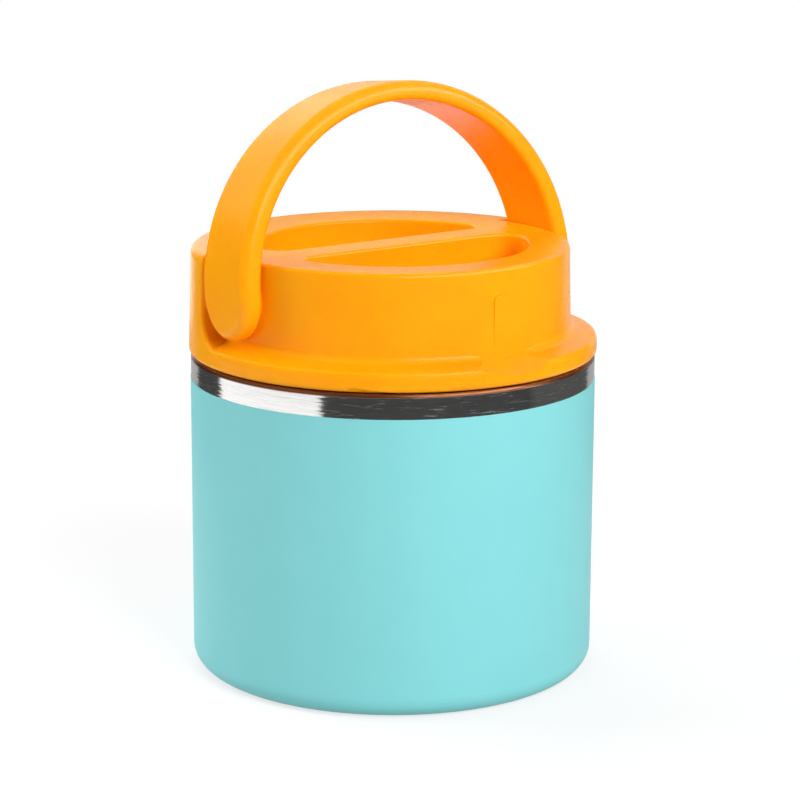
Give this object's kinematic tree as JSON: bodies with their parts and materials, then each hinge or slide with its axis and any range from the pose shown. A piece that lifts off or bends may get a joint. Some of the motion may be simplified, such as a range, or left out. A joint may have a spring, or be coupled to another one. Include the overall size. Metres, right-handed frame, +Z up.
{
  "type": "insulated food jar",
  "caption": "Vacuum-walled steel food jar with a powder-coated body, a screw lid with finger wells, and an arched carry handle that swings down round the lid.",
  "frame": {"origin": "centre of the foot, on the surface the jar stands on", "axes": "+Z up the jar's axis; X along the handle's pivot axis; -Y towards the lid's front, where its rib and thumb scoop are"},
  "size_m": [0.1046, 0.1046, 0.1517],
  "materials": {
    "steel": "brushed round the wall",
    "cup_steel": "electropolished",
    "teal_coat": "fine satin powder coat",
    "foil": "bright foil",
    "getter_metal": "sintered pill",
    "seal_metal": "dull brazed bead",
    "silicone": "translucent food-safe silicone",
    "orange_plastic": "satin moulded polypropylene",
    "plug_plastic": "satin food-safe polypropylene",
    "foam": "closed-cell foam",
    "washer_plastic": "natural acetal",
    "screw_steel": "plated pan-head screw"
  },
  "bodies": {
    "jar": {"outer_shell": "steel", "powder_coat": "teal_coat", "inner_liner": "cup_steel", "radiation_foil": "foil", "getter": "getter_metal", "base_plate": "steel", "vacuum_seal": "seal_metal"},
    "seal": {"lid_gasket": "silicone"},
    "lid": {"lid_cap": "orange_plastic", "lid_plug": "plug_plastic", "lid_insulation": "foam"},
    "handle": {"carry_handle": "orange_plastic", "pivot_washers": "washer_plastic", "pivot_screws": "screw_steel"}
  },
  "joints": [
    {"name": "lid_rise", "type": "slide", "parent": "jar", "child": "seal", "axis": [0, 0, 1], "range_m": [0, 0.01501]},
    {"name": "lid_turn", "type": "hinge", "parent": "seal", "child": "lid", "pos_m": [0, 0, 0.0826], "axis": [0, 0, 1], "range_deg": [0, 540]},
    {"name": "handle_pivot", "type": "hinge", "parent": "lid", "child": "handle", "pos_m": [0, 0, 0.0999], "axis": [1, 0, 0], "range_deg": [0, 96.2]}
  ],
  "couplings": [
    {"joint": "lid_rise", "follows": "lid_turn", "m_per_rad": 0.0015915}
  ]
}
